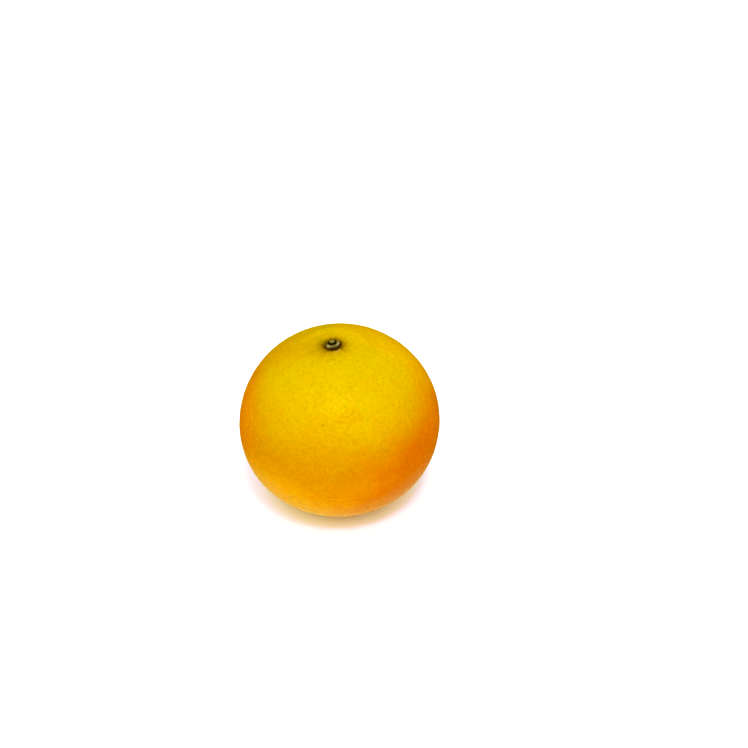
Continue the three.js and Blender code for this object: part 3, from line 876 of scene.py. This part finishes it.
# ---- floor --------------------------------------------------------------------------------------------------------
fm, ft, fb = material("pale_floor")
geo = ft.node("ShaderNodeNewGeometry")
grain = ft.noise(geo.outputs["Position"], 60.0, 3.0, 0.6)
ft.put(fb.inputs["Base Color"], ft.mix(ft.ramp(grain, 0.3, 0.7), rgb(0.885, 0.885, 0.885), rgb(0.905, 0.905, 0.905)))
ft.put(fb.inputs["Roughness"], ft.ramp(grain, 0.3, 0.7, 0.85, 0.95))
fb.inputs["Specular IOR Level"].default_value = 0.0
fl = bpy.data.meshes.new("floor")
S = 6.0
fl.from_pydata([(-S, -S, 0), (S, -S, 0), (S, S, 0), (-S, S, 0)], [], [(0, 1, 2, 3)])
fl.materials.append(fm)
floor = bpy.data.objects.new("floor", fl)
bpy.context.scene.collection.objects.link(floor)
floor.visible_glossy = False  # the gloss sees the room's own colours instead

# ---- light --------------------------------------------------------------------------------------------------------
world = bpy.data.worlds.new("studio")
bpy.context.scene.world = world
world.use_nodes = True
wt = Tree(world.node_tree)
world.node_tree.nodes.clear()
ambient, backdrop = wt.node("ShaderNodeBackground"), wt.node("ShaderNodeBackground")
# the room: bright overhead, dimmer and warmer towards the horizon
toward = wt.node("ShaderNodeTexCoord")
_, _, up_ = wt.split(toward.outputs["Generated"])
wt.put(ambient.inputs["Color"], wt.mix(wt.ramp(up_, 0.0, 0.48), rgb(0.33, 0.265, 0.20), rgb(0.98, 0.98, 1.0)))
ambient.inputs["Strength"].default_value = 1.0
backdrop.inputs["Color"].default_value = rgb(1.0, 1.0, 1.0)  # the white sweep behind the object, as seen
backdrop.inputs["Strength"].default_value = 1.0
# what the gloss picks up: a bright ceiling, warm dim surroundings like the rest of a heap of fruit, and the floor below
mirrored = wt.node("ShaderNodeBackground")
around = wt.mix(wt.ramp(up_, 0.20, 0.75), rgb(0.42, 0.20, 0.05), rgb(0.95, 0.95, 0.97))
wt.put(mirrored.inputs["Color"], wt.mix(wt.ramp(up_, -0.62, -0.84), around, rgb(1.0, 0.93, 0.85)))
mirrored.inputs["Strength"].default_value = 1.0
seen = wt.node("ShaderNodeLightPath")
lit = wt.node("ShaderNodeMixShader")
world.node_tree.links.new(seen.outputs["Is Glossy Ray"], lit.inputs[0])
world.node_tree.links.new(ambient.outputs[0], lit.inputs[1])
world.node_tree.links.new(mirrored.outputs[0], lit.inputs[2])
both = wt.node("ShaderNodeMixShader")
wo = wt.node("ShaderNodeOutputWorld")
world.node_tree.links.new(seen.outputs["Is Camera Ray"], both.inputs[0])
world.node_tree.links.new(lit.outputs[0], both.inputs[1])
world.node_tree.links.new(backdrop.outputs[0], both.inputs[2])
world.node_tree.links.new(both.outputs[0], wo.inputs[0])


def aim(ob, towards):
    ob.rotation_euler = (Vector(towards) - ob.location).to_track_quat("-Z", "Y").to_euler()


key = bpy.data.lights.new("key", "SUN")
key.energy = 1.88
key.angle = math.radians(40)
key_ob = bpy.data.objects.new("key", key)
bpy.context.scene.collection.objects.link(key_ob)
key_ob.location = (-0.04, -1.0, 1.24)
aim(key_ob, (0, 0, 0.035))

glint = bpy.data.lights.new("glint", "SUN")  # a smaller lamp, which the peel's gloss catches
glint.energy = 0.82
glint.angle = math.radians(8)
glint_ob = bpy.data.objects.new("glint", glint)
bpy.context.scene.collection.objects.link(glint_ob)
glint_ob.location = (0.09, -0.72, 1.40)
aim(glint_ob, (0, 0, 0.035))

# ---- camera -------------------------------------------------------------------------------------------------------
cam = bpy.data.cameras.new("camera")
cam.sensor_width = 36.0
cam.lens = 1120 / 748 * 36.0
cam.clip_start = 0.01
cam.clip_end = 50.0
cam_ob = bpy.data.objects.new("camera", cam)
bpy.context.scene.collection.objects.link(cam_ob)
cam_ob.location = (-0.0000899, -0.339157, 0.300218)
cam_ob.rotation_euler = (math.radians(90 - 35.695), 0, math.radians(-2.2374))
bpy.context.scene.camera = cam_ob

view = bpy.context.scene.view_settings
view.view_transform = "Standard"
view.use_curve_mapping = True
for x, y in ((0.25, 0.125), (0.5, 0.345), (0.68, 0.69), (0.84, 0.90)):  # the picture's warm, saturated print
    view.curve_mapping.curves[2].points.new(x, y)
view.curve_mapping.black_level = (0.018, 0.018, 0.032)
view.curve_mapping.update()
